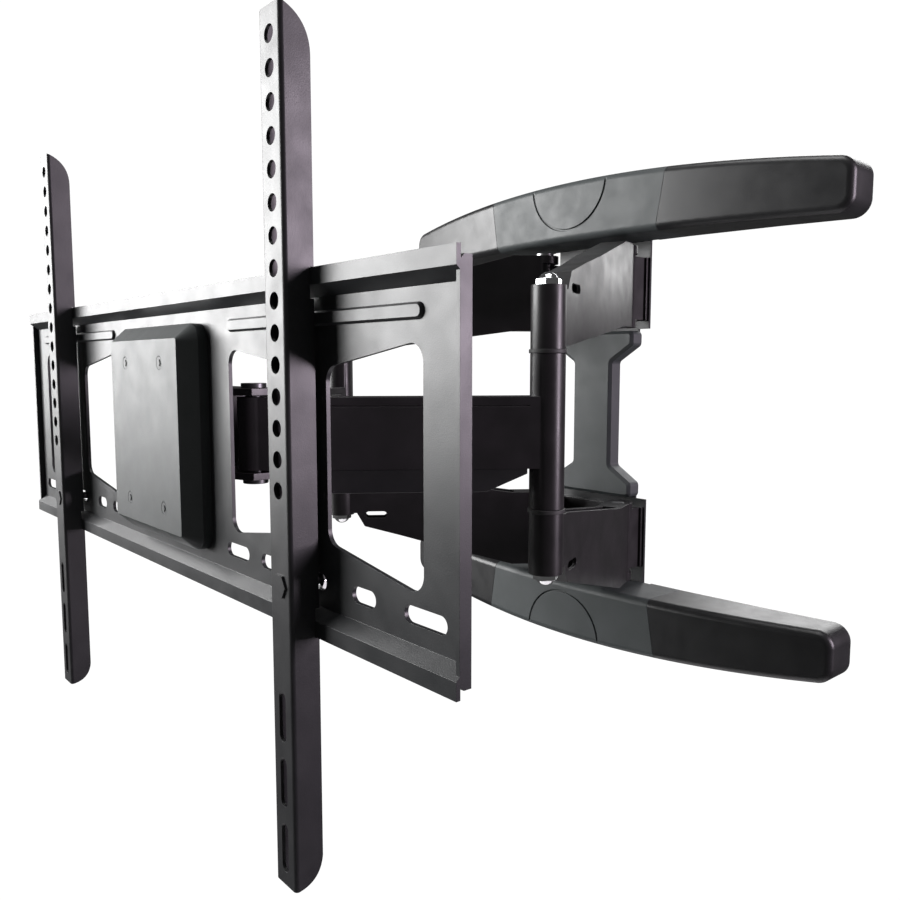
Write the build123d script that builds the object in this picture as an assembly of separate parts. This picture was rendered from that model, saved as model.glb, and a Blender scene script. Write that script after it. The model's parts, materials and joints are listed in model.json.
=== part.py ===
from build123d import *
import math
import os

# Full motion wall mount for a flat screen: two folding arms between a wall base and a slotted
# face plate. The origin is the centre of the wall plate's back face, +Y points into the wall,
# +X to the right as seen from the room, +Z up. All sizes are in millimetres.

# Linkage: every arm has the same length from pivot to pivot.
ARM = 212.0
PIVOT_X = 50.0          # each wall pivot stands this far from the middle
PIVOT_Y = -35.0
FOLD = 30.0             # half angle of the fold as modelled
SWING = 6.25            # the whole linkage is swung this far to the left
FIT = 0.05              # radial running fit
PIN_R = 6.0

# Wall base
WALL_T = 2.5
BAR_HALF = 263.0
BAR_OUT_MID = 225.0
BAR_OUT_END = 206.0
BAR_IN_MID = 168.0
BAR_IN_END = 163.0
BAR_DEPTH = 58.0
BAR_DEPTH_END = 34.0
BAR_WALL = 3.0
WALL_HOLE_X = 215.0
WALL_HOLE_Z = 186.0
WALL_HOLE_R = 4.5
LUG_R = 8.4
FLANGE_T = 7.6

# Rear arms
REAR_T = 24.0
REAR_LOW = 84.0         # edges at the wall
REAR_TOP = 160.0
KNUCKLE_LOW = 60.0      # edges at the elbow
KNUCKLE_TOP = 106.0
KNUCKLE_R = 13.0

# Front arms
FRONT_T = 22.0
FRONT_HALF = 26.0
TUBE_HALF = 57.0
CABLE_DROP = 17.0

# Head
HEAD_X = -40.0
SWIVEL_Y = -412.0
SWIVEL_R = 8.0
TILT_Y = -427.0
BASE_BACK = -437.0
BASE_FRONT = -440.0

# Face plate
LIP_Y = -450.0
PLATE_T = 2.5
WEB_BACK = -441.0
WEB_FRONT = WEB_BACK - PLATE_T
PLATE_L = 655.0
PLATE_H = 198.0
LIP_H = 9.0
SLANT_H = 6.0
SLOT_Z = -70.0
COVER_W = 142.0
COVER_H = 152.0
COVER_FRONT = -461.0

# Screen brackets
BRACKET_X = 200.0
BRACKET_W = 22.0
BRACKET_TOP = 229.0
BRACKET_LOW = -241.0
BRACKET_T = 2.0
BRACKET_FRONT = LIP_Y - 15.0
BRACKET_BACK = LIP_Y + 2.5
HOLE_R = 4.6
HOLE_PITCH = 50.0 / 3.0
HOLE_TOP = 215.0
HOLE_COUNT = 15

os.makedirs("parts", exist_ok=True)


def save(name, *solids):
    """Write one node, made of one or more separate solids."""
    loose = [s for shape in solids for s in shape.solids()]
    shape = loose[0] if len(loose) == 1 else Compound(children=loose)
    export_step(shape, f"parts/{name}.step")


def block(x0, x1, y0, y1, z0, z1):
    middle = Pos((x0 + x1) / 2, (y0 + y1) / 2, (z0 + z1) / 2)
    return middle * Box(x1 - x0, y1 - y0, z1 - z0)


def post(x, y, radius, z0, z1):
    """A round bar along Z."""
    return Pos(x, y, (z0 + z1) / 2) * Cylinder(radius, z1 - z0)


def rod_x(x0, x1, y, z, radius):
    return Pos((x0 + x1) / 2, y, z) * Rot(0, 90, 0) * Cylinder(radius, x1 - x0)


def rod_y(x, z, y0, y1, radius):
    return Pos(x, (y0 + y1) / 2, z) * Rot(90, 0, 0) * Cylinder(radius, y1 - y0)


def upright(points, y0, y1, corner=0.0):
    """An outline of x, z points, as thick as y0 to y1."""
    face = make_face(Polyline(*points, close=True))
    if corner:
        face = fillet(face.vertices(), corner)
    return Pos(0, y1, 0) * extrude(Plane.XZ * face, amount=y1 - y0)


def flat(points, z0, z1, corner=0.0):
    """An outline of x, y points, as tall as z0 to z1."""
    face = make_face(Polyline(*points, close=True))
    if corner:
        face = fillet(face.vertices(), corner)
    return Pos(0, 0, z0) * extrude(face, amount=z1 - z0)


def oblong(x, z, length, height, y0, y1):
    """A slot along X with round ends, cut through Y."""
    face = SlotOverall(length, height)
    return Pos(0, y1, 0) * extrude(Plane.XZ * (Pos(x, z) * face), amount=y1 - y0)


def flip(shape):
    """The same piece below the middle."""
    return mirror(shape, about=Plane.XY)


def other_side(shape):
    return mirror(shape, about=Plane.YZ)


def reach(x, y, lean):
    """The far pivot of an arm that leans this many degrees to the right of straight out."""
    angle = math.radians(lean)
    return x + ARM * math.sin(angle), y - ARM * math.cos(angle)


def along(x, y, lean):
    """The place of an arm drawn along +X from its first pivot."""
    return Pos(x, y, 0) * Rot(0, 0, lean - 90)


LEAN = {"right": (FOLD - SWING, -FOLD - SWING), "left": (-FOLD - SWING, FOLD - SWING)}
WALL_PIVOT = {"right": (PIVOT_X, PIVOT_Y), "left": (-PIVOT_X, PIVOT_Y)}
ELBOW = {side: reach(*WALL_PIVOT[side], LEAN[side][0]) for side in LEAN}
HEAD_PIVOT = {side: reach(*ELBOW[side], LEAN[side][1]) for side in LEAN}
HEAD_Y = HEAD_PIVOT["right"][1]
for side in LEAN:
    print(side, "elbow", ELBOW[side], "head pivot", HEAD_PIVOT[side])


# ---------------------------------------------------------------- wall base

def waisted(waist, flare, top):
    """Half of an upright outline that is narrow in the middle and wide at both ends."""
    return [(flare, top), (flare, 68), (waist, 52), (waist, -52), (flare, -68), (flare, -top)]


def both_halves(points):
    return points + [(-x, z) for x, z in reversed(points)]


def wall_plate():
    """One pressed plate: two long bars joined by a waisted column, with four wall bolt holes."""
    inset = 6.0
    bar = block(-BAR_HALF + inset, BAR_HALF - inset, -WALL_T, 0, BAR_IN_MID + 3.5, BAR_OUT_END - 6)
    column = upright(both_halves(waisted(20, 46, REAR_LOW)), -WALL_T, 0)
    neck = block(-58, 58, -WALL_T, 0, REAR_LOW, BAR_IN_MID + 4)
    plate = bar + flip(bar) + column + neck + flip(neck)
    for x in (-WALL_HOLE_X, WALL_HOLE_X):
        for z in (-WALL_HOLE_Z, WALL_HOLE_Z):
            plate -= rod_y(x, z, -WALL_T - 1, 1, WALL_HOLE_R)
    return plate


def bar_solid(skin):
    """The arched bar of a wall cover, its skin this much smaller all round."""
    half = BAR_HALF - skin
    top = ThreePointArc((-half, BAR_OUT_END - skin), (0, BAR_OUT_MID - skin), (half, BAR_OUT_END - skin))
    low = ThreePointArc((half, BAR_IN_END + skin), (0, BAR_IN_MID + skin), (-half, BAR_IN_END + skin))
    right = Line((half, BAR_OUT_END - skin), (half, BAR_IN_END + skin))
    left = Line((-half, BAR_IN_END + skin), (-half, BAR_OUT_END - skin))
    front = fillet(make_face([top, right, low, left]).vertices(), 14 - skin)
    slab = extrude(Plane.XZ * front, amount=BAR_DEPTH + 5)
    edge = ThreePointArc((-half, -BAR_DEPTH_END + skin), (0, -BAR_DEPTH + skin), (half, -BAR_DEPTH_END + skin))
    back = Polyline((half, -BAR_DEPTH_END + skin), (half, 1), (-half, 1), (-half, -BAR_DEPTH_END + skin))
    plan = Pos(0, 0, BAR_IN_END - 10) * extrude(make_face([edge, back]), amount=90)
    return slab & plan


def bar_shell():
    """The hollow cover, open towards the wall, with a rounded front edge."""
    outer = bar_solid(0)
    rim = [e for e in outer.edges() if e.bounding_box().max.Y < -BAR_DEPTH_END + 1]
    outer = fillet(rim, 7)
    hollow = bar_solid(BAR_WALL)
    hollow += Pos(0, 1, 0) * hollow
    return outer - hollow


def bar_zone(sign):
    """The space of one end cap: outside a slanted joint line."""
    low, high, far = 97.0, 112.0, BAR_HALF + 10
    return upright([(sign * low, 150), (sign * high, 240), (sign * far, 240), (sign * far, 150)], -70, 5)


def groove_ring():
    """The shallow round groove pressed into the middle of each cover."""
    outer = rod_y(0, BAR_OUT_MID, -BAR_DEPTH - 2, -BAR_DEPTH + 1.8, 47)
    inner = rod_y(0, BAR_OUT_MID, -BAR_DEPTH - 3, -BAR_DEPTH + 2, 45)
    return outer - inner


def pivot_yoke():
    """A plate with two upright tubes, one behind each upper rear arm, that hold the wall pivots."""
    low, high = REAR_LOW + FLANGE_T + 0.4, REAR_TOP - FLANGE_T - 0.4
    yoke = block(-56, 56, -WALL_T - 3, -WALL_T, low, high)
    for x in (-PIVOT_X, PIVOT_X):
        yoke += post(x, PIVOT_Y, LUG_R, low, high)
        yoke += block(x - 3.5, x + 3.5, PIVOT_Y + 4, -WALL_T - 1, low, high)
        yoke -= post(x, PIVOT_Y, PIN_R + FIT, low - 1, high + 1)
    return yoke


def pivot_pin(x):
    return post(x, PIVOT_Y, PIN_R, REAR_LOW, REAR_TOP) + post(x, PIVOT_Y, 9, REAR_TOP + 0.1, REAR_TOP + 3)


def center_cover():
    """The waisted cover of the column between the two pivot yokes."""
    outline = both_halves(waisted(24.5, 50, REAR_LOW - 2))
    body = upright(outline, -18, -WALL_T, corner=5)
    front = body.faces().sort_by(Axis.Y)[0]
    body = chamfer(front.edges(), 3)
    inner = both_halves(waisted(21.5, 47, REAR_LOW - 5))
    return body - upright(inner, -15, 0)


# ---------------------------------------------------------------- arms

def rear_side(skin):
    """The side view of an upper rear arm: tall at the wall and tapering to the elbow."""
    start, end = 0.0, ARM
    return [
        (start, REAR_LOW + skin), (34, REAR_LOW + skin), (end - 22, KNUCKLE_LOW + 3 + skin),
        (end, KNUCKLE_LOW + 3 + skin), (end, KNUCKLE_TOP - 2 - skin), (end - 16, KNUCKLE_TOP - 2 - skin),
        (end - 24, KNUCKLE_TOP + 12 - skin), (34, REAR_TOP - skin), (start, REAR_TOP - skin),
    ]


def rear_arm(side):
    """A pressed channel, open underneath, forked at the wall and with a knuckle at the elbow."""
    half = REAR_T / 2
    plan = [
        (4, -half), (118, -half), (150, -half + 2.5), (ARM, -half + 2.5),
        (ARM, half - 2.5), (150, half - 2.5), (118, half), (4, half),
    ]
    body = upright(rear_side(0), -half, half) & flat(plan, 0, 200)
    body += post(0, 0, 14, REAR_LOW, REAR_TOP) + block(0, 20, -half, half, REAR_LOW, REAR_TOP)
    hollow = upright(rear_side(3), -half + 3, half - 3)
    hollow += Pos(0, 0, -8) * hollow
    body -= hollow & block(30, ARM - 14, -half + 5.5, half - 5.5, 0, 200)
    low, high = REAR_LOW + FLANGE_T, REAR_TOP - FLANGE_T
    body -= block(0, 30, -half + 3, half - 3, low, high)
    body -= block(-20, 4, -20, 20, low, high)
    body += post(ARM, 0, KNUCKLE_R, KNUCKLE_LOW, KNUCKLE_TOP)
    body -= post(0, 0, PIN_R + FIT, 0, 200)
    body -= post(ARM, 0, PIN_R + FIT, 0, 200)
    vent = Pos(ARM - 36, 0, KNUCKLE_TOP) * Rot(90, 0, 0) * extrude(SlotOverall(22, 7), 20, both=True)
    return along(*WALL_PIVOT[side], LEAN[side][0]) * (body - vent)


def elbow_pin(side):
    return post(*ELBOW[side], PIN_R, -KNUCKLE_TOP, KNUCKLE_TOP)


def cap_nut(side):
    """A domed nut on top of the elbow pin."""
    x, y = ELBOW[side]
    nut = Pos(x, y, KNUCKLE_TOP) * extrude(RegularPolygon(9.8, 6), amount=4.5)
    dome = Pos(x, y, KNUCKLE_TOP + 1) * Sphere(8.4)
    dome &= post(x, y, 12, KNUCKLE_TOP + 3, KNUCKLE_TOP + 12)
    return nut + dome


def elbow_washer(side):
    x, y = ELBOW[side]
    ring = post(x, y, 14, TUBE_HALF + 0.1, KNUCKLE_LOW)
    return ring - post(x, y, PIN_R + FIT, TUBE_HALF - 1, KNUCKLE_LOW + 1)


def front_arm(side, end_clearance):
    """A box arm with a long tube at the elbow and a boss at the head."""
    half = FRONT_T / 2
    beam = block(0, ARM, -half, half, -FRONT_HALF, FRONT_HALF)
    beam -= block(16, ARM - 16, -half + 3, half - 3, -FRONT_HALF - 1, FRONT_HALF - 3)
    beam -= block(15, ARM - 18, -half - 1, -half + 0.8, FRONT_HALF - 7, FRONT_HALF - 6)
    beam -= block(15, ARM - 18, half - 0.8, half + 1, FRONT_HALF - 7, FRONT_HALF - 6)
    arm = beam + post(0, 0, KNUCKLE_R, -TUBE_HALF, TUBE_HALF) + post(ARM, 0, 12, -FRONT_HALF, FRONT_HALF)
    arm -= post(0, 0, PIN_R + FIT, -90, 90)
    arm -= post(ARM, 0, PIN_R + end_clearance, -90, 90)
    return along(*ELBOW[side], LEAN[side][1]) * arm


def cable_cover(side):
    """The clip-on channel under a front arm that hides the cables, tapered at the elbow."""
    half = FRONT_T / 2 - 1
    top, low = -FRONT_HALF, -FRONT_HALF - CABLE_DROP
    shape = [(16, top), (16, top - 4), (46, low), (ARM - 20, low), (ARM - 20, top)]
    trough = upright(shape, -half, half)
    inner = [(22, top + 1), (22, top - 1), (47, low + 2.5), (ARM - 23, low + 2.5), (ARM - 23, top + 1)]
    trough -= upright(inner, -half + 2.5, half - 2.5)
    return along(*ELBOW[side], LEAN[side][1]) * trough


# ---------------------------------------------------------------- head

def carrier():
    """Two lugs and a spacer that hold the arms' head ends apart and carry the swivel pin."""
    right, left = HEAD_PIVOT["right"][0], HEAD_PIVOT["left"][0]
    back = HEAD_Y + 16
    shape = [
        (right + 14, back - 6), (right + 14, HEAD_Y - 9), (right + 4, HEAD_Y - 14), (HEAD_X + 12, SWIVEL_Y - 12),
        (HEAD_X - 12, SWIVEL_Y - 12), (left - 4, HEAD_Y - 14), (left - 14, HEAD_Y - 9), (left - 14, back - 6),
        (left, back), (right, back),
    ]
    lug = flat(shape, FRONT_HALF + 1.3, FRONT_HALF + 6.3)
    part = lug + flip(lug)
    part += block(HEAD_X - 12, HEAD_X + 12, HEAD_Y - 2.5, back, -FRONT_HALF - 2, FRONT_HALF + 2)
    for x in (right, left):
        part -= post(x, HEAD_Y, PIN_R + FIT, -60, 60)
    part -= post(HEAD_X, SWIVEL_Y, 5 + FIT, -60, 60)
    return part


def head_pin(side):
    x = HEAD_PIVOT[side][0]
    high = FRONT_HALF + 6.3
    head = post(x, HEAD_Y, 9, high, high + 3.5)
    return post(x, HEAD_Y, PIN_R, -high, high) + head + flip(head)


def swivel_pin():
    high = FRONT_HALF + 6.3
    head = Pos(HEAD_X, SWIVEL_Y, high) * extrude(RegularPolygon(9, 6), amount=6)
    head += post(HEAD_X, SWIVEL_Y, 5, high + 6, high + 11)
    return post(HEAD_X, SWIVEL_Y, 5, -high, high) + head + flip(head)


def swivel_block():
    """The upright hinge knuckle with two ears for the tilt bolts."""
    part = post(HEAD_X, SWIVEL_Y, SWIVEL_R, -FRONT_HALF - 0.9, FRONT_HALF + 0.9)
    part += block(HEAD_X - 6, HEAD_X + 6, TILT_Y + 5, SWIVEL_Y, -20, 20)
    part += block(HEAD_X - 22, HEAD_X + 22, TILT_Y + 4.5, TILT_Y + 7.5, -20, 20)
    for sign in (-1, 1):
        x0, x1 = sorted((HEAD_X + sign * 18, HEAD_X + sign * 22))
        part += block(x0, x1, TILT_Y, -421, -7.5, 7.5) + rod_x(x0, x1, TILT_Y, 0, 7.5)
        part -= rod_x(x0 - 1, x1 + 1, TILT_Y, 0, 4 + FIT)
    part -= post(HEAD_X, SWIVEL_Y, 5 + FIT, -60, 60)
    return part


def tilt_bracket():
    """A plate with two ears that tips on the swivel block."""
    base = block(HEAD_X - 36, HEAD_X + 36, BASE_FRONT, BASE_BACK, -55, 55)
    base = chamfer(base.edges().filter_by(Axis.Y), 10)
    for sign in (-1, 1):
        x0, x1 = sorted((HEAD_X + sign * 22.4, HEAD_X + sign * 26.4))
        base += block(x0, x1, BASE_BACK - 1, TILT_Y, -9, 9) + rod_x(x0, x1, TILT_Y, 0, 9)
        base -= rod_x(x0 - 1, x1 + 1, TILT_Y, 0, 4 + FIT)
    base -= rod_y(HEAD_X, 0, BASE_FRONT - 1, BASE_BACK + 1, 8 + FIT)
    for x, z in level_spots():
        base -= rod_y(x, z, BASE_FRONT - 1, BASE_BACK + 1, 3 + FIT)
    return base


def level_spots():
    return [(HEAD_X + x, z) for x in (-26, 26) for z in (-38, 38)]


def tilt_bolt(sign):
    x0, x1 = sorted((HEAD_X + sign * 16.5, HEAD_X + sign * 26.4))
    h0, h1 = sorted((HEAD_X + sign * 26.4, HEAD_X + sign * 31))
    return rod_x(x0, x1, TILT_Y, 0, 4) + rod_x(h0, h1, TILT_Y, 0, 7.5)


def level_pivot():
    """The stud that the face plate turns on when the screen is levelled."""
    return rod_y(HEAD_X, 0, -446, BASE_BACK, 8) + rod_y(HEAD_X, 0, -449, -446, 12)


def level_washer():
    ring = rod_y(HEAD_X, 0, BASE_FRONT - 0.6, BASE_FRONT, 20)
    return ring - rod_y(HEAD_X, 0, BASE_FRONT - 2, BASE_FRONT + 1, 8 + FIT)


def level_bolt(x, z):
    head = rod_y(x, z, WEB_FRONT - 4.3, WEB_FRONT - 0.3, 8)
    return rod_y(x, z, WEB_FRONT - 1, BASE_BACK, 3) + head


# ---------------------------------------------------------------- face plate and brackets

def plate_section():
    """Half of the plate's edge as y, z points: web, slanted band and lip."""
    top = PLATE_H / 2
    web = top - LIP_H - SLANT_H
    return [
        (WEB_BACK, 0), (WEB_BACK, web + 1), (LIP_Y + PLATE_T, top - LIP_H + 1), (LIP_Y + PLATE_T, top),
        (LIP_Y, top), (LIP_Y, top - LIP_H), (WEB_FRONT, web), (WEB_FRONT, 0),
    ]


def window(points):
    """One of the large openings, with round corners."""
    return upright(points, WEB_FRONT - 8, WEB_BACK + 3, corner=9)


def face_plate():
    """The slotted plate: four large openings, ribs, slots and forward lips all round."""
    half = PLATE_L / 2
    edge = make_face(Plane.YZ * Polyline(*plate_section(), close=True))
    upper = Pos(HEAD_X - half, 0, 0) * extrude(edge, amount=PLATE_L, dir=(1, 0, 0))
    plate = upper + flip(upper)
    for sign in (-1, 1):
        for points in (
            [(215, -47), (297, -60), (297, 60), (215, 47)],
            [(101, -59), (183, -47), (183, 47), (101, 59)],
        ):
            plate -= window([(HEAD_X + sign * x, z) for x, z in points])
        x0, x1 = sorted((HEAD_X + sign * (half - PLATE_T), HEAD_X + sign * half))
        end = block(x0, x1, LIP_Y + 2, WEB_BACK, -95, 95)
        end = chamfer(end.edges().filter_by(Axis.X).filter_by(lambda e: e.center().Y < WEB_FRONT), 2.5)
        plate += end
        for x, length in ((298, 32), (248, 21), (202, 21), (149.5, 21), (108, 30)):
            plate -= oblong(HEAD_X + sign * x, SLOT_Z, length, 9, WEB_FRONT - 3, WEB_BACK + 3)
        rib = oblong(HEAD_X + sign * 200, 73, 196, 8, WEB_FRONT - 1.8, WEB_FRONT)
        plate += chamfer(rib.faces().sort_by(Axis.Y)[0].edges(), 1.2)
    plate -= rod_y(HEAD_X, 0, WEB_FRONT - 1, WEB_BACK + 1, 8 + FIT)
    for x, z in level_spots():
        plate -= rod_y(x, z, WEB_FRONT - 1, WEB_BACK + 1, 6)
    return plate


def head_cover():
    """The moulded cover in front of the tilt mechanism, with wide chamfers."""
    depth = WEB_FRONT - COVER_FRONT
    half_w, half_h = COVER_W / 2, COVER_H / 2
    outer = block(HEAD_X - half_w, HEAD_X + half_w, COVER_FRONT, WEB_FRONT, -half_h, half_h)
    outer = fillet(outer.edges().filter_by(Axis.Y), 12)
    outer = chamfer(outer.faces().sort_by(Axis.Y)[0].edges(), depth - 7.5, 11)
    inner = block(HEAD_X - 58, HEAD_X + 58, COVER_FRONT + 2.5, WEB_FRONT + 1, -63, 63)
    inner = fillet(inner.edges().filter_by(Axis.Y), 8)
    shell = outer - inner
    for x, z in cap_spots():
        shell -= rod_y(x, z, COVER_FRONT - 1, COVER_FRONT + 1.2, 4.6)
    return shell


def cap_spots():
    return [(HEAD_X + x, z) for x in (-32, 32) for z in (-50, 50)]


def screw_cap(x, z):
    cap = rod_y(x, z, COVER_FRONT + 0.1, COVER_FRONT + 1.2, 4.3)
    hexagon = Plane.XZ * (Pos(x, z) * RegularPolygon(2.6, 6))
    return cap + Pos(0, COVER_FRONT + 0.2, 0) * extrude(hexagon, amount=0.7)


def screen_bracket(sign):
    """A long channel that hangs on the plate's lips and bolts to the screen."""
    centre = HEAD_X + sign * BRACKET_X
    half = BRACKET_W / 2
    top, low = BRACKET_TOP, BRACKET_LOW
    side = make_face([
        Line((BRACKET_FRONT, low), (BRACKET_FRONT, top)),
        Spline((BRACKET_FRONT, top), (BRACKET_FRONT + 12.5, top - 8), (BRACKET_BACK, top - 26)),
        Line((BRACKET_BACK, top - 26), (BRACKET_BACK, low + 16)),
        Spline((BRACKET_BACK, low + 16), (BRACKET_FRONT + 12.5, low + 4.5), (BRACKET_FRONT, low)),
    ])
    channel = Pos(centre - half, 0, 0) * extrude(Plane.YZ * side, amount=BRACKET_W, dir=(1, 0, 0))
    channel = fillet(channel.faces().sort_by(Axis.Y)[0].edges().filter_by(Axis.Z), 2.5)
    inner = half - BRACKET_T
    channel -= block(centre - inner, centre + inner, BRACKET_FRONT + BRACKET_T, BRACKET_BACK + 5, low - 5, top + 5)
    for end in (-1, 1):
        z0, z1 = sorted((end * (PLATE_H / 2 - LIP_H - SLANT_H - 1), end * (PLATE_H / 2 + 0.4)))
        channel -= block(centre - 20, centre + 20, LIP_Y, BRACKET_BACK + 5, z0, z1)
    for k in range(HOLE_COUNT):
        channel -= rod_y(centre, HOLE_TOP - k * HOLE_PITCH, BRACKET_FRONT - 1, BRACKET_FRONT + 4, HOLE_R)
    for z in (-143.5, -181, -219):
        slot = Pos(centre, 0, z) * Rot(0, 90, 0) * Pos(-centre, 0, 0) * oblong(
            centre, 0, 28, 7, BRACKET_FRONT - 1, BRACKET_FRONT + 4)
        channel -= slot
    channel -= rod_y(centre, SLOT_Z, BRACKET_FRONT - 1, BRACKET_FRONT + 4, 3 + FIT)
    return channel


def lock_bolt(sign):
    """Locks a bracket to the plate through one of the bottom slots."""
    x = HEAD_X + sign * BRACKET_X
    head = Plane.XZ * (Pos(x, SLOT_Z) * RegularPolygon(7, 6))
    head = Pos(0, BRACKET_FRONT, 0) * extrude(head, amount=1.2)
    return head + rod_y(x, SLOT_Z, BRACKET_FRONT, WEB_BACK + 9, 3)


def lock_nut(sign):
    x = HEAD_X + sign * BRACKET_X
    nut = Pos(0, WEB_BACK + 5, 0) * extrude(Plane.XZ * (Pos(x, SLOT_Z) * RegularPolygon(6.5, 6)), amount=5)
    return nut - rod_y(x, SLOT_Z, WEB_BACK - 2, WEB_BACK + 8, 3 + FIT)


# ---------------------------------------------------------------- write every piece

save("wall_plate", wall_plate())
cover = bar_shell()
end_cap = cover & bar_zone(-1)
middle = cover - bar_zone(1) - bar_zone(-1) - groove_ring()
middle -= block(-66.5, 66.5, -WALL_T - 0.2, 1, BAR_IN_END - 5, BAR_IN_MID + 4.5)
for name, place in (("top", lambda s: s), ("bottom", flip)):
    save(f"{name}_cover", place(middle))
    save(f"{name}_end_cap_right", place(other_side(end_cap)))
    save(f"{name}_end_cap_left", place(end_cap))
save("center_cover", center_cover())
save("pivot_yoke_upper", pivot_yoke())
save("pivot_yoke_lower", flip(pivot_yoke()))
save("wall_pivot_pins", *[turn(pivot_pin(x)) for x in (-PIVOT_X, PIVOT_X) for turn in (lambda s: s, flip)])

for side, clearance in (("right", FIT), ("left", 0.5)):
    save(f"rear_arm_upper_{side}", rear_arm(side))
    save(f"rear_arm_lower_{side}", flip(rear_arm(side)))
    save(f"elbow_pin_{side}", elbow_pin(side))
    save(f"elbow_cap_nuts_{side}", cap_nut(side), flip(cap_nut(side)))
    save(f"elbow_washers_{side}", elbow_washer(side), flip(elbow_washer(side)))
    save(f"front_arm_{side}", front_arm(side, clearance))
    save(f"cable_cover_{side}", cable_cover(side))

save("carrier", carrier())
save("head_pivot_pins", head_pin("right"), head_pin("left"))
save("swivel_pin", swivel_pin())
save("swivel_block", swivel_block())
save("tilt_bracket", tilt_bracket())
save("tilt_bolts", tilt_bolt(-1), tilt_bolt(1))
save("level_pivot", level_pivot())
save("level_washer", level_washer())
save("level_bolts", *[level_bolt(x, z) for x, z in level_spots()])
save("face_plate", face_plate())
save("head_cover", head_cover())
save("screw_caps", *[screw_cap(x, z) for x, z in cap_spots()])
for side, sign in (("right", 1), ("left", -1)):
    save(f"screen_bracket_{side}", screen_bracket(sign))
save("lock_bolts", lock_bolt(-1), lock_bolt(1))
save("lock_nuts", lock_nut(-1), lock_nut(1))
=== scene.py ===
# %% [markdown]
# A full motion wall mount, dressed around its CAD frame. The frame already has every plate, arm, pin
# and cover at its modelled size, so this lesson adds what a CAD solid lacks: softened edges that
# catch the light, powder coat, moulded plastic, polished nuts, and a studio to see them in.

# %% Load the frame
import json
import math
import bmesh
import bpy
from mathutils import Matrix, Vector

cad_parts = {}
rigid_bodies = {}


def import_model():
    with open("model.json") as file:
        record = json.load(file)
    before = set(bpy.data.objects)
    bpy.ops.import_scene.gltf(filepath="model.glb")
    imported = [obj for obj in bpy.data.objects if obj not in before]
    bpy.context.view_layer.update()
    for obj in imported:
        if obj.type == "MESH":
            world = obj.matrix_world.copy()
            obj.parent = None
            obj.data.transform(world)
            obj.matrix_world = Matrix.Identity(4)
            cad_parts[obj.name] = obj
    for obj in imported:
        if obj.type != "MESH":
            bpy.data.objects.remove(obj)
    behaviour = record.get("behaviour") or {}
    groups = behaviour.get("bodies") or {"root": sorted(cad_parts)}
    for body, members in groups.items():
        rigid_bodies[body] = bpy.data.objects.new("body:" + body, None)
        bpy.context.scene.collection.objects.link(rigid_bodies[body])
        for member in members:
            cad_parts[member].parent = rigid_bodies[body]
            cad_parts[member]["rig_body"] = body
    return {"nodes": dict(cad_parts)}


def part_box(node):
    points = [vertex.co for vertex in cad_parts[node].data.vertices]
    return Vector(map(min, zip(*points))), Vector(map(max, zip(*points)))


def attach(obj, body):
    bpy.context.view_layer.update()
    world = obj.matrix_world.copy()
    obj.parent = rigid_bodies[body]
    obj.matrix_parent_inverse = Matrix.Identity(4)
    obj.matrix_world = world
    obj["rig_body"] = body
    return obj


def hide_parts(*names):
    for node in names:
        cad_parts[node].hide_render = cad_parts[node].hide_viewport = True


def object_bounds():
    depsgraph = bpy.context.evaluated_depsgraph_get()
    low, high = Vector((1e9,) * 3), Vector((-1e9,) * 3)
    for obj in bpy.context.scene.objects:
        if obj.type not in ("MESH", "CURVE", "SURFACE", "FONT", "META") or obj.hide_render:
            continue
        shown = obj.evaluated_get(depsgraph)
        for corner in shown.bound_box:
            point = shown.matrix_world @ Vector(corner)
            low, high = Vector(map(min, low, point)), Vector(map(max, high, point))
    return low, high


MM = 0.001
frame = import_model()
cad_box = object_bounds()
nodes = frame["nodes"]
scene = bpy.context.scene

# %% [markdown]
# The camera stands to the right of the mount and a little above its middle, close enough that the
# near bracket looms over the far one. Its place is measured from the middle and the front of the
# face plate, the piece that fills most of the view, so it follows the plate if a size changes.

# %% Camera
plate_low, plate_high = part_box("face_plate")
plate_mid = (plate_low + plate_high) / 2
TO_THE_RIGHT, IN_FRONT, ABOVE = 594 * MM, 232 * MM, 47.9 * MM
EYE = Vector((plate_mid.x + TO_THE_RIGHT, plate_low.y - IN_FRONT, plate_mid.z + ABOVE))
YAW = math.radians(49.4)
PITCH = math.radians(-5.75)
LENS = 33.4
NEAREST = 0.02


def aim(yaw, pitch):
    """The direction of a camera turned left from +Y by yaw and raised by pitch."""
    level = math.cos(pitch)
    return Vector((-math.sin(yaw) * level, math.cos(yaw) * level, math.sin(pitch)))


camera_data = bpy.data.cameras.new("camera")
camera_data.lens = LENS
camera_data.clip_start = NEAREST
camera = bpy.data.objects.new("camera", camera_data)
camera.location = EYE
camera.rotation_euler = aim(YAW, PITCH).to_track_quat("-Z", "Y").to_euler()
scene.collection.objects.link(camera)
scene.camera = camera
print("camera at", [round(v, 3) for v in EYE])

# %% [markdown]
# Powder coat is paint baked from dust. It is never quite flat: it has a fine orange peel, and its
# shade and gloss wander a little. Three noises do this, two broad ones for shade and roughness and
# a fine one for the bump, all in object space so that they don't swim or stretch. An image texture
# could do it too, but it would need the pieces unwrapped.


# %% Shader helpers
def new_material(name, colour, roughness, metallic=0.0):
    material = bpy.data.materials.new(name)
    material.use_nodes = True
    shader = material.node_tree.nodes["Principled BSDF"]
    shader.inputs["Base Color"].default_value = (*colour, 1)
    shader.inputs["Roughness"].default_value = roughness
    shader.inputs["Metallic"].default_value = metallic
    return material, shader


def noise(material, scale, detail=3.0):
    tree = material.node_tree
    place = tree.nodes.new("ShaderNodeTexCoord")
    texture = tree.nodes.new("ShaderNodeTexNoise")
    texture.inputs["Scale"].default_value = scale
    texture.inputs["Detail"].default_value = detail
    tree.links.new(place.outputs["Object"], texture.inputs["Vector"])
    return texture.outputs["Fac"]


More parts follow.
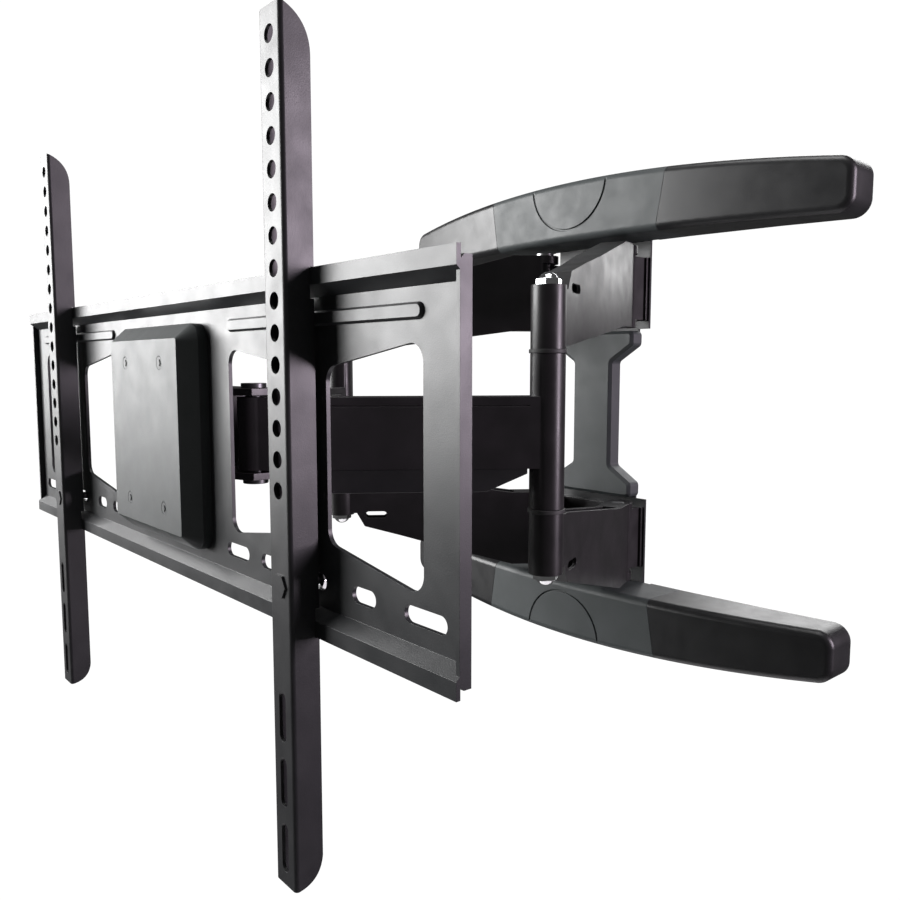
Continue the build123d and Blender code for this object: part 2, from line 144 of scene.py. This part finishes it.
# A noise seldom leaves the middle of its 0 to 1 range, so only this part of it is spread out.
NOISE_LOW, NOISE_HIGH = 0.3, 0.7


def vary_roughness(material, shader, value, low, high):
    """Lets a noise move the roughness between low and high."""
    node = material.node_tree.nodes.new("ShaderNodeMapRange")
    node.inputs["From Min"].default_value = NOISE_LOW
    node.inputs["From Max"].default_value = NOISE_HIGH
    node.inputs["To Min"].default_value = low
    node.inputs["To Max"].default_value = high
    material.node_tree.links.new(value, node.inputs["Value"])
    material.node_tree.links.new(node.outputs["Result"], shader.inputs["Roughness"])


def add_bump(material, shader, value, strength, distance):
    bump = material.node_tree.nodes.new("ShaderNodeBump")
    bump.inputs["Strength"].default_value = strength
    bump.inputs["Distance"].default_value = distance
    material.node_tree.links.new(value, bump.inputs["Height"])
    material.node_tree.links.new(bump.outputs["Normal"], shader.inputs["Normal"])


def tint(material, shader, value, dark, light):
    """Lets a noise move the colour between two close shades."""
    ramp = material.node_tree.nodes.new("ShaderNodeValToRGB")
    first, last = ramp.color_ramp.elements
    first.position, first.color = NOISE_LOW, (*dark, 1)
    last.position, last.color = NOISE_HIGH, (*light, 1)
    material.node_tree.links.new(value, ramp.inputs["Fac"])
    material.node_tree.links.new(ramp.outputs["Color"], shader.inputs["Base Color"])


print("shader helpers ready")

# %% [markdown]
# Every dark finish here, painted or moulded, is the same recipe with its own shade, gloss and grain:
# a coating. The plate, the brackets and the arms are coated steel. The arms are the darkest.

# %% Painted steel
SHADE_SCALE = 38
GLOSS_SCALE = 60
COAT_GRAIN_DEPTH = 0.0002


def coating(name, dark, light, rough, grain, grain_strength):
    """A paint or moulded skin: close shades, wandering gloss and a fine grain."""
    material, shader = new_material(name, dark, rough[0])
    tint(material, shader, noise(material, SHADE_SCALE), dark, light)
    vary_roughness(material, shader, noise(material, GLOSS_SCALE, 4), *rough)
    add_bump(material, shader, noise(material, grain, 2), grain_strength, COAT_GRAIN_DEPTH)
    return material


plate_paint = coating("plate_powder_coat", (0.02, 0.021, 0.023), (0.026, 0.027, 0.029), (0.34, 0.42),
                      1500, 0.22)
bracket_paint = coating("bracket_powder_coat", (0.02, 0.02, 0.022), (0.027, 0.027, 0.029),
                        (0.36, 0.44), 1500, 0.22)
arm_paint = coating("arm_powder_coat", (0.012, 0.011, 0.012), (0.018, 0.016, 0.018), (0.3, 0.4),
                    1300, 0.2)
print("paints", plate_paint.name, bracket_paint.name, arm_paint.name)

# %% [markdown]
# Covers like these are usually ABS mouldings from a spark-eroded tool, which leaves a matt, fine
# leather texture. So their grain is stronger than the paint's and their gloss duller. The end caps
# are smoother and darker. The washers at the elbows are plain nylon.

# %% Moulded plastic
cover_plastic = coating("grained_cover_plastic", (0.045, 0.052, 0.053), (0.055, 0.062, 0.064),
                        (0.46, 0.56), 2200, 0.35)
head_plastic = coating("grained_head_plastic", (0.04, 0.045, 0.045), (0.05, 0.055, 0.056),
                       (0.42, 0.5), 2200, 0.3)
cap_plastic = coating("smooth_cap_plastic", (0.012, 0.012, 0.013), (0.018, 0.018, 0.019),
                      (0.34, 0.42), 2000, 0.18)
nylon = coating("black_nylon", (0.02, 0.02, 0.02), (0.03, 0.03, 0.03), (0.5, 0.6), 1800, 0.2)
print("plastics", cover_plastic.name, head_plastic.name, cap_plastic.name, nylon.name)

# %% [markdown]
# The dome nuts are the brightest pieces. A polished metal needs a near-white colour, low roughness
# and only a faint grain. Zinc plate is greyer and duller, and black oxide is dark but still a metal.

# %% Bare metal
METAL_GLOSS_SCALE = 240
METAL_GRAIN_SCALE = 900
METAL_GRAIN_DEPTH = 0.0001


def bare_metal(name, colour, rough, grain_strength):
    material, shader = new_material(name, colour, rough[0], metallic=1.0)
    vary_roughness(material, shader, noise(material, METAL_GLOSS_SCALE, 5), *rough)
    add_bump(material, shader, noise(material, METAL_GRAIN_SCALE), grain_strength,
             METAL_GRAIN_DEPTH)
    return material


polished = bare_metal("polished_dome_steel", (0.86, 0.86, 0.87), (0.08, 0.16), 0.05)
zinc = bare_metal("zinc_plate", (0.5, 0.5, 0.51), (0.28, 0.42), 0.15)
black_oxide = bare_metal("black_oxide_screws", (0.12, 0.12, 0.125), (0.3, 0.42), 0.12)
print("metals", polished.name, zinc.name, black_oxide.name)

# %% [markdown]
# A pressed or moulded edge is never knife sharp. The CAD edges are, so a visible node gets a
# stand-in: its own mesh with flat areas merged, every sharp edge rounded by a real bevel, and
# weighted normals so that the wide faces stay flat. On an outer edge the bevel cuts material away,
# and in an inner corner it leaves a small fillet. A bevel shader node would be quicker, but it
# changes no geometry, so the mesh itself would stay sharp.

# %% Softened edges
SHARP = math.radians(28)
FLAT = math.radians(0.6)
WELD = 1e-6
BEVEL_STEPS = 3


def merged_copy(source):
    """The mesh of a CAD node with doubled corners welded and flat areas merged."""
    mesh = source.data.copy()
    work = bmesh.new()
    work.from_mesh(mesh)
    bmesh.ops.remove_doubles(work, verts=work.verts, dist=WELD)
    bmesh.ops.dissolve_limit(work, angle_limit=FLAT, verts=work.verts, edges=work.edges)
    for face in work.faces:
        face.smooth = True
    work.to_mesh(mesh)
    work.free()
    return mesh


def give_finish(mesh, material):
    mesh.materials.clear()
    mesh.materials.append(material)


def soften(name, material, width_mm):
    """Stands a bevelled copy in for a CAD node."""
    mesh = merged_copy(nodes[name])
    piece = bpy.data.objects.new(name + "_skin", mesh)
    scene.collection.objects.link(piece)
    give_finish(mesh, material)
    bevel = piece.modifiers.new("edge", "BEVEL")
    bevel.width = width_mm * MM
    bevel.segments = BEVEL_STEPS
    bevel.limit_method = "ANGLE"
    bevel.angle_limit = SHARP
    bevel.use_clamp_overlap = True
    bevel.miter_outer = "MITER_ARC"
    normals = piece.modifiers.new("normals", "WEIGHTED_NORMAL")
    normals.keep_sharp = True
    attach(piece, nodes[name]["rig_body"])
    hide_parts(name)


print("edges sharper than", round(math.degrees(SHARP)), "degrees are rounded")

# %% [markdown]
# Each finish goes to the pieces whose names start with the words in this table, with the width in
# millimetres of their rounded edges. A width of nothing keeps the CAD node itself: these pieces are
# hidden, tiny, or against the wall, where a soft edge would hardly show.

# %% Finishes
FINISHES = {
    "wall_plate": (plate_paint, 0.0),
    "pivot_yoke": (arm_paint, 0.5),
    "center_cover": (cover_plastic, 1.2),
    "top_cover": (cover_plastic, 0.5),
    "bottom_cover": (cover_plastic, 0.5),
    "top_end_cap": (cap_plastic, 0.5),
    "bottom_end_cap": (cap_plastic, 0.5),
    "rear_arm": (arm_paint, 0.8),
    "front_arm": (arm_paint, 0.8),
    "cable_cover": (cap_plastic, 0.8),
    "carrier": (arm_paint, 0.6),
    "swivel_block": (arm_paint, 0.4),
    "tilt_bracket": (arm_paint, 0.5),
    "face_plate": (plate_paint, 0.5),
    "head_cover": (head_plastic, 1.0),
    "screen_bracket": (bracket_paint, 0.5),
    "elbow_cap_nuts": (polished, 0.4),
    "elbow_pin": (zinc, 0.0),
    "elbow_washers": (nylon, 0.4),
    "wall_pivot_pins": (zinc, 0.4),
    "head_pivot_pins": (black_oxide, 0.4),
    "swivel_pin": (black_oxide, 0.4),
    "tilt_bolts": (black_oxide, 0.3),
    "level_pivot": (zinc, 0.0),
    "level_washer": (nylon, 0.0),
    "level_bolts": (zinc, 0.0),
    "screw_caps": (head_plastic, 0.0),
    "lock_bolts": (bracket_paint, 0.0),
    "lock_nuts": (polished, 0.3),
}


def finish_of(name):
    """The row of FINISHES with the longest key that the name starts with."""
    return FINISHES[max((key for key in FINISHES if name.startswith(key)), key=len)]


for name in sorted(nodes):
    material, width = finish_of(name)
    if width:
        soften(name, material, width)
    else:
        give_finish(nodes[name].data, material)
print("dressed", len(nodes), "nodes")

# %% [markdown]
# The studio is a pale round floor well below the mount, which hangs on a wall and rests on nothing.
# A round floor has no corner to show from any side, where a square one would.

# %% Floor
low, high = cad_box
FLOOR_DROP = 1.7
FLOOR_Z = low[2] - FLOOR_DROP
FLOOR_R = 1.25
FLOOR_SIDES = 128


def floor_material():
    material, shader = new_material("pale_floor", (0.9, 0.9, 0.9), 0.6)
    tint(material, shader, noise(material, 3), (0.88, 0.88, 0.88), (0.92, 0.92, 0.92))
    return material


def round_floor():
    mesh = bpy.data.meshes.new("floor")
    ring = [2 * math.pi * k / FLOOR_SIDES for k in range(FLOOR_SIDES)]
    rim = [(FLOOR_R * math.cos(a), FLOOR_R * math.sin(a), FLOOR_Z) for a in ring]
    mesh.from_pydata(rim, [], [tuple(range(FLOOR_SIDES))])
    mesh.materials.append(floor_material())
    piece = bpy.data.objects.new("floor", mesh)
    scene.collection.objects.link(piece)


round_floor()
print("floor at", round(FLOOR_Z, 3))

# %% [markdown]
# The backdrop is a world and not a wall. It is white where the camera looks straight at it, but
# lights the mount only faintly, so that the dark pieces keep their depth. The Light Path node tells
# the two apart.

# %% Backdrop
SEEN = 1.05
FELT = 0.07


def studio_world():
    world = bpy.data.worlds.new("studio")
    world.use_nodes = True
    tree = world.node_tree
    soft = tree.nodes["Background"]
    white = tree.nodes.new("ShaderNodeBackground")
    for background, strength in ((soft, FELT), (white, SEEN)):
        background.inputs["Color"].default_value = (1, 1, 1, 1)
        background.inputs["Strength"].default_value = strength
    path = tree.nodes.new("ShaderNodeLightPath")
    mix = tree.nodes.new("ShaderNodeMixShader")
    tree.links.new(path.outputs["Is Camera Ray"], mix.inputs[0])
    tree.links.new(soft.outputs[0], mix.inputs[1])
    tree.links.new(white.outputs[0], mix.inputs[2])
    tree.links.new(mix.outputs[0], tree.nodes["World Output"].inputs["Surface"])
    return world


scene.world = studio_world()
scene.view_settings.view_transform = "Standard"
print("backdrop", SEEN, "seen,", FELT, "felt")

# %% [markdown]
# A dark, satin object shows the lamps, not itself: each long highlight on a bracket or a lip is the
# mirror image of a lamp. So the lamps are wide panels, and each is placed for the faces it draws.
# The wide one lights the fronts, the narrow one the right-hand ends, and the others the tops and
# the back.

# %% Lamps
centre = Vector([(low[i] + high[i]) / 2 for i in range(3)])
WHITE = (1, 1, 1)
LAMPS = (
    # name, offset from the middle in metres, width, height, power in watts, colour
    ("wide_left", (-2.4, -2.0, 0.75), 2.2, 1.9, 190, WHITE),
    ("strip_right", (2.0, 1.0, 0.35), 0.4, 1.2, 42, (1.0, 0.86, 1.0)),
    ("top", (0.1, -0.1, 2.1), 1.2, 1.2, 22, WHITE),
    ("behind", (-0.5, 2.4, 1.0), 1.4, 1.4, 30, WHITE),
)


def panel(name, offset, width, height, power, colour):
    """A soft rectangular light that looks at the middle of the object."""
    data = bpy.data.lights.new(name, "AREA")
    data.shape = "RECTANGLE"
    data.size = width
    data.size_y = height
    data.energy = power
    data.color = colour
    lamp = bpy.data.objects.new(name, data)
    lamp.location = centre + Vector(offset)
    lamp.rotation_euler = (-Vector(offset)).to_track_quat("-Z", "Y").to_euler()
    scene.collection.objects.link(lamp)


for lamp_row in LAMPS:
    panel(*lamp_row)
print("lamps", len(LAMPS))
